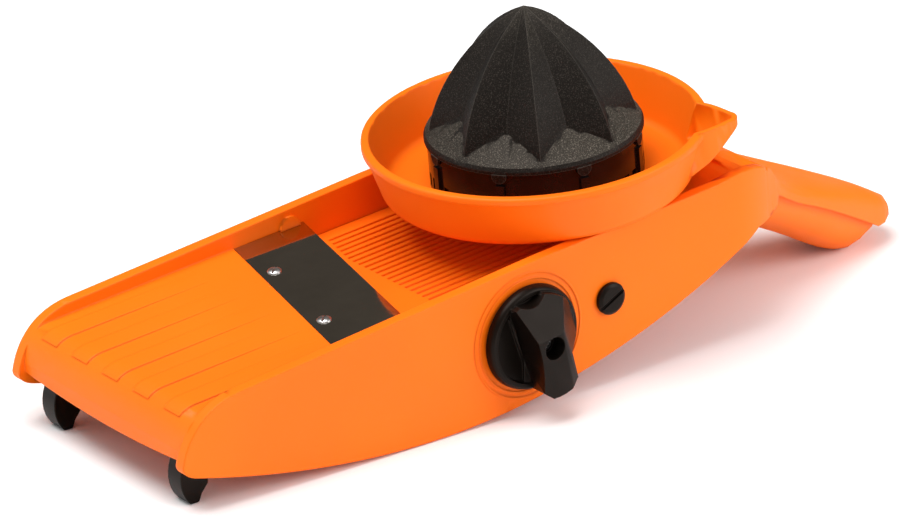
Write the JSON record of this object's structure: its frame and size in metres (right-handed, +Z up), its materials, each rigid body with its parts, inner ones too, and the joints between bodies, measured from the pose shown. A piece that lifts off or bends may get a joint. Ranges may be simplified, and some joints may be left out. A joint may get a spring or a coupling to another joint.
{
  "type": "mandoline slicer",
  "caption": "Hand slicer with a skewed blade, a grooved ramp that a side knob raises, hooked feet, a drooping handle and a citrus press dish on top.",
  "frame": {"origin": "middle of the bounding box, on the plane that the feet and the handle stand on", "axes": "+X from the nose to the handle, +Y to the side away from the knob, +Z up"},
  "size_m": [0.4022, 0.1468, 0.1439],
  "materials": {
    "shell": "satin orange moulding",
    "black": "satin black moulding",
    "black_matte": "fine-grained matt black moulding",
    "steel": "bright zinc",
    "blade_steel": "polished, ground edge"
  },
  "bodies": {
    "frame": {"body": "shell", "handle_cover": "shell", "handle_screws": "steel", "blade": "blade_steel", "blade_screws": "steel", "blade_nuts": "steel", "detent_spring": "steel", "foot_near": "black", "foot_far": "black"},
    "front_crank": {"knob": "black", "knob_screw": "steel", "knob_washer": "steel", "front_crank_near": "black", "front_rod": "steel", "front_crank_far": "black", "crank_screw_far": "black"},
    "rear_crank": {"rear_crank_near": "black", "rear_crank_far": "black", "rear_rod": "steel", "pivot_screw_near": "black", "pivot_screw_far": "black"},
    "ramp_plate": {"ramp": "shell"},
    "press_dish": {"dish": "shell"},
    "press_strainer": {"strainer": "black"},
    "press_reamer": {"reamer": "black_matte"}
  },
  "joints": [
    {"name": "knob_turn", "type": "hinge", "parent": "frame", "child": "front_crank", "pos_m": [-0.03658, 0.0034, 0.03319], "axis": [0, 1, 0], "range_deg": [0, 128]},
    {"name": "rear_turn", "type": "hinge", "parent": "frame", "child": "rear_crank", "pos_m": [0.00441, 0.0034, 0.03834], "axis": [0, 1, 0], "range_deg": [0, 128]},
    {"name": "ramp_ride", "type": "hinge", "parent": "front_crank", "child": "ramp_plate", "pos_m": [-0.0361, 0.0034, 0.02821], "axis": [0, 1, 0], "range_deg": [-128, 0]},
    {"name": "dish_lift", "type": "slide", "parent": "frame", "child": "press_dish", "axis": [-0.0958, 0, 0.9954], "range_m": [0, 0.12]},
    {"name": "strainer_lift", "type": "slide", "parent": "press_dish", "child": "press_strainer", "axis": [-0.0958, 0, 0.9954], "range_m": [0, 0.06]},
    {"name": "reamer_lift", "type": "slide", "parent": "press_strainer", "child": "press_reamer", "axis": [-0.0958, 0, 0.9954], "range_m": [0, 0.08]}
  ],
  "couplings": [
    {"joint": "rear_turn", "follows": "knob_turn", "ratio": 1},
    {"joint": "ramp_ride", "follows": "knob_turn", "ratio": -1}
  ]
}
